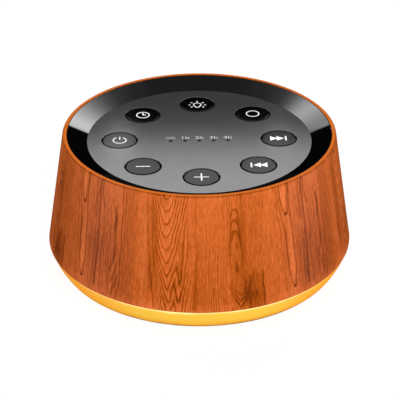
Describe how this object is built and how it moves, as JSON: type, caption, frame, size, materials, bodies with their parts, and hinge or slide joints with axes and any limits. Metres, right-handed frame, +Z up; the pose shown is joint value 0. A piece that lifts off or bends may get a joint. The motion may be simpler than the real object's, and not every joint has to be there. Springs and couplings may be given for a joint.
{
  "type": "white noise sound machine",
  "caption": "Round tapered table-top sound machine with a wood-look shell, a recessed deck of push buttons and an amber light ring round its foot.",
  "frame": {"origin": "middle of the base, on the surface that the rubber feet stand on", "axes": "+Z up through the middle of the control deck; -Y is the front, where the volume-up button is, and +Y the back, with the power inlet"},
  "size_m": [0.11, 0.11, 0.051],
  "materials": {
    "wood_grain_shell": "moulded shell with a printed wood grain and a satin clear coat",
    "gloss_black_bezel": "polished black",
    "black_deck": "plain moulded black",
    "grey_panel": "satin dark grey film",
    "amber_diffuser": "translucent amber, lit from inside",
    "base_black": "fine spark-eroded texture",
    "grille_steel": "black powder coat",
    "foot_rubber": "matt",
    "screw_steel": "zinc plated",
    "cap_black": "satin black with a white printed sign",
    "plunger_ivory": "plain",
    "green_board": "solder mask",
    "white_board": "white solder mask",
    "switch_case": "moulded black",
    "led_lens": "clear lens",
    "led_phosphor": "yellow phosphor in a white cup",
    "black_shroud": "matt",
    "chip_black": "moulded epoxy",
    "can_aluminium": "bright can",
    "socket_cream": "plain nylon",
    "speaker_basket": "pressed steel, black",
    "plated_steel": "zinc plated",
    "ferrite": "ground ferrite",
    "foam_gasket": "closed-cell foam",
    "terminal_brass": "tinned lugs on a strip",
    "cone_paper": "pressed paper",
    "coil_wire": "enamelled copper on a former",
    "dust_cap_cloth": "doped cloth",
    "roll_rubber": "matt half roll",
    "spider_cloth": "resin-dipped pleated cloth",
    "inlet_steel": "drawn nickel-plated shell",
    "black_jacket": "PVC jacket",
    "white_jacket": "PVC jacket",
    "red_jacket": "PVC jacket"
  },
  "bodies": {
    "case": {"sleeve": "wood_grain_shell", "deck_bezel": "gloss_black_bezel", "top_deck": "black_deck", "control_panel": "grey_panel", "light_ring": "amber_diffuser", "base_cover": "base_black", "speaker_grille": "grille_steel", "foot_pads": "foot_rubber", "case_screws": "screw_steel", "control_board": "green_board", "board_screws": "screw_steel", "tact_switches": "switch_case", "timer_leds": "led_lens", "led_shroud": "black_shroud", "sound_chip": "chip_black", "small_chips": "chip_black", "capacitors": "can_aluminium", "board_sockets": "socket_cream", "light_board": "white_board", "ring_leds": "led_phosphor", "speaker_frame": "speaker_basket", "speaker_top_plate": "plated_steel", "speaker_magnet": "ferrite", "speaker_yoke": "plated_steel", "speaker_gasket": "foam_gasket", "speaker_terminals": "terminal_brass", "speaker_screws": "screw_steel", "cone_surround": "roll_rubber", "cone_spider": "spider_cloth", "power_board": "green_board", "power_inlet": "inlet_steel", "power_board_screws": "screw_steel", "speaker_lead": "black_jacket", "light_lead": "white_jacket", "power_lead": "red_jacket"},
    "button_power": {"cap_power": "cap_black", "plunger_power": "plunger_ivory"},
    "button_timer": {"cap_timer": "cap_black", "plunger_timer": "plunger_ivory"},
    "button_light": {"cap_light": "cap_black", "plunger_light": "plunger_ivory"},
    "button_circle": {"cap_circle": "cap_black", "plunger_circle": "plunger_ivory"},
    "button_next": {"cap_next": "cap_black", "plunger_next": "plunger_ivory"},
    "button_previous": {"cap_previous": "cap_black", "plunger_previous": "plunger_ivory"},
    "button_volume_up": {"cap_volume_up": "cap_black", "plunger_volume_up": "plunger_ivory"},
    "button_volume_down": {"cap_volume_down": "cap_black", "plunger_volume_down": "plunger_ivory"},
    "cone": {"speaker_cone": "cone_paper", "voice_coil": "coil_wire", "dust_cap": "dust_cap_cloth"}
  },
  "joints": [
    {"name": "power_press", "type": "slide", "parent": "case", "child": "button_power", "axis": [0, 0, -1], "range_m": [0, 0.0005], "stiffness_N_per_m": 3000},
    {"name": "timer_press", "type": "slide", "parent": "case", "child": "button_timer", "axis": [0, 0, -1], "range_m": [0, 0.0005], "stiffness_N_per_m": 3000},
    {"name": "light_press", "type": "slide", "parent": "case", "child": "button_light", "axis": [0, 0, -1], "range_m": [0, 0.0005], "stiffness_N_per_m": 3000},
    {"name": "circle_press", "type": "slide", "parent": "case", "child": "button_circle", "axis": [0, 0, -1], "range_m": [0, 0.0005], "stiffness_N_per_m": 3000},
    {"name": "next_press", "type": "slide", "parent": "case", "child": "button_next", "axis": [0, 0, -1], "range_m": [0, 0.0005], "stiffness_N_per_m": 3000},
    {"name": "previous_press", "type": "slide", "parent": "case", "child": "button_previous", "axis": [0, 0, -1], "range_m": [0, 0.0005], "stiffness_N_per_m": 3000},
    {"name": "volume_up_press", "type": "slide", "parent": "case", "child": "button_volume_up", "axis": [0, 0, -1], "range_m": [0, 0.0005], "stiffness_N_per_m": 3000},
    {"name": "volume_down_press", "type": "slide", "parent": "case", "child": "button_volume_down", "axis": [0, 0, -1], "range_m": [0, 0.0005], "stiffness_N_per_m": 3000},
    {"name": "cone_stroke", "type": "slide", "parent": "case", "child": "cone", "axis": [0, 0, -1], "range_m": [-0.0008, 0.0008], "stiffness_N_per_m": 1500, "deforming": ["cone_surround", "cone_spider"]}
  ]
}
